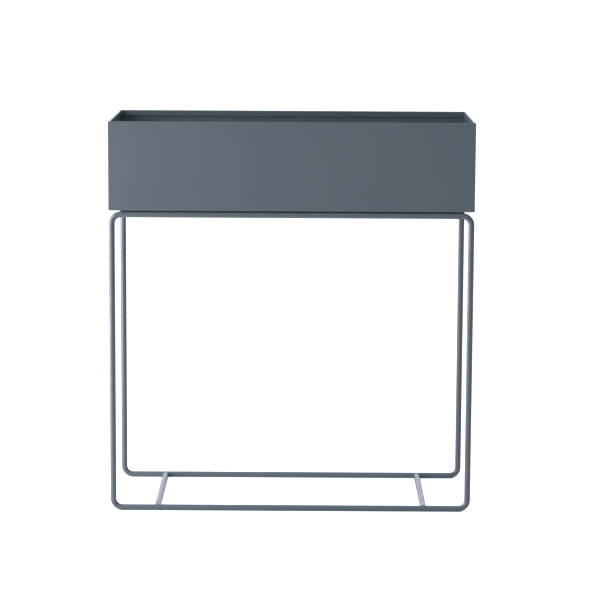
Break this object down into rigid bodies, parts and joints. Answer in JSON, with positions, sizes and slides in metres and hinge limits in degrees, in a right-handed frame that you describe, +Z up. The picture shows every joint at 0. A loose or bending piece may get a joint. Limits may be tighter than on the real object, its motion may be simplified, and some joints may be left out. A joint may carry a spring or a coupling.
{
  "type": "raised planter",
  "caption": "Long rectangular sheet-steel planter box raised on a slim stand of bent round rod, for plants beside a wall or along a balcony.",
  "frame": {"origin": "on the ground, under the middle of the planter", "axes": "+Z up, +X along the planter's length to the right, front long wall faces -Y"},
  "size_m": [0.6, 0.25, 0.65],
  "materials": {
    "coated_sheet": "satin powder coat, dusty blue-grey",
    "coated_rod": "satin powder coat, dusty blue-grey",
    "coated_bar": "satin powder coat, dusty blue-grey",
    "coated_weld": "weld bead under the same satin powder coat",
    "cushion_rubber": "matt black",
    "washer_rubber": "matt black",
    "screw_steel": "plain stainless",
    "nut_steel": "plain stainless"
  },
  "bodies": {
    "root": {"box_trough": "coated_sheet", "box_left_end": "coated_sheet", "box_right_end": "coated_sheet", "box_left_seam": "coated_weld", "box_right_seam": "coated_weld", "front_loop": "coated_rod", "rear_loop": "coated_rod", "front_loop_weld": "coated_weld", "rear_loop_weld": "coated_weld", "left_cross_rod": "coated_rod", "right_cross_rod": "coated_rod", "left_cross_rod_welds": "coated_weld", "right_cross_rod_welds": "coated_weld", "left_support_bar": "coated_bar", "right_support_bar": "coated_bar", "left_support_bar_welds": "coated_weld", "right_support_bar_welds": "coated_weld", "front_cushion_strip": "cushion_rubber", "rear_cushion_strip": "cushion_rubber", "box_screws": "screw_steel", "sealing_washers": "washer_rubber", "flange_nuts": "nut_steel"}
  },
  "joints": []
}
